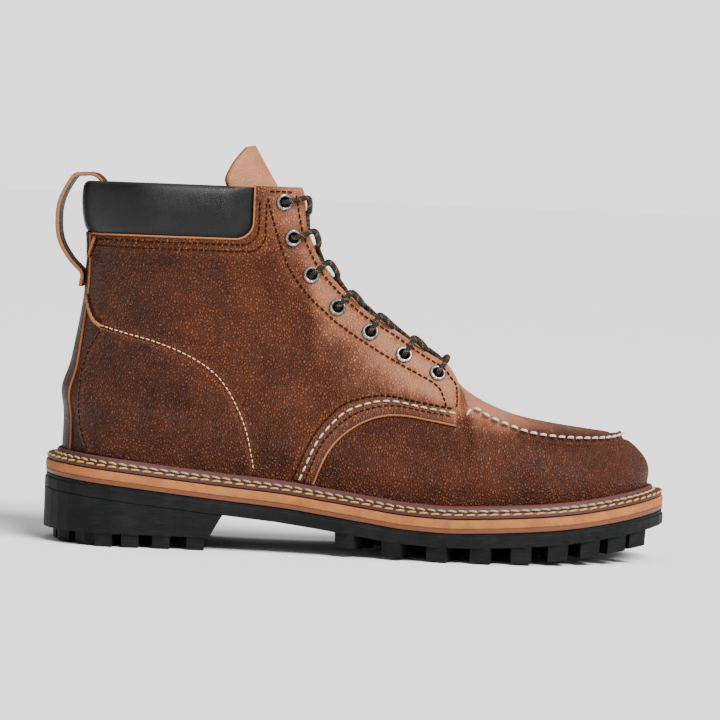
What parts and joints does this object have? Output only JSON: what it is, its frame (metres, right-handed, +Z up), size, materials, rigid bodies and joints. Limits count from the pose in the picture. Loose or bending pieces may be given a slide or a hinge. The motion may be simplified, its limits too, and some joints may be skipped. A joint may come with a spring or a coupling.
{
  "type": "moc toe boot",
  "caption": "Right foot moc toe work boot: oiled leather upper with a padded collar, laced over a tongue, on a storm welt, leather midsole and lugged rubber sole.",
  "frame": {"origin": "middle of the sole's length and width, on the floor that the boot stands on", "axes": "+X from the heel to the toe, +Z up, +Y to the inner side of the right foot"},
  "size_m": [0.3022, 0.1154, 0.1945],
  "materials": {
    "upper_leather": "oiled and pebbled",
    "collar_leather": "smooth with a soft sheen",
    "tongue_leather": "soft, oiled",
    "welt_leather": "maroon, rough on its rib",
    "midsole_leather": "rough cut edge",
    "insole_leather": "natural, matt",
    "rubber": "matt, finely sanded edge",
    "eyelet_metal": "antiqued",
    "lace_cord": "braided"
  },
  "bodies": {
    "root": {"outsole": "rubber", "heel_block": "rubber", "midsole": "midsole_leather", "welt": "welt_leather", "insole": "insole_leather", "upper": "upper_leather", "collar": "collar_leather", "counter_lateral": "upper_leather", "counter_medial": "upper_leather", "wing_lateral": "upper_leather", "wing_medial": "upper_leather", "backstay": "upper_leather", "tongue": "tongue_leather", "pull_loop": "upper_leather", "eyelet_lateral_1": "eyelet_metal", "eyelet_lateral_2": "eyelet_metal", "eyelet_lateral_3": "eyelet_metal", "eyelet_lateral_4": "eyelet_metal", "eyelet_lateral_5": "eyelet_metal", "eyelet_lateral_6": "eyelet_metal", "eyelet_lateral_7": "eyelet_metal", "eyelet_medial_1": "eyelet_metal", "eyelet_medial_2": "eyelet_metal", "eyelet_medial_3": "eyelet_metal", "eyelet_medial_4": "eyelet_metal", "eyelet_medial_5": "eyelet_metal", "eyelet_medial_6": "eyelet_metal", "eyelet_medial_7": "eyelet_metal", "lace_crossing_1": "lace_cord", "lace_crossing_2": "lace_cord", "lace_crossing_3": "lace_cord", "lace_crossing_4": "lace_cord", "lace_crossing_5": "lace_cord", "lace_crossing_6": "lace_cord", "lace_bar": "lace_cord"}
  },
  "joints": []
}
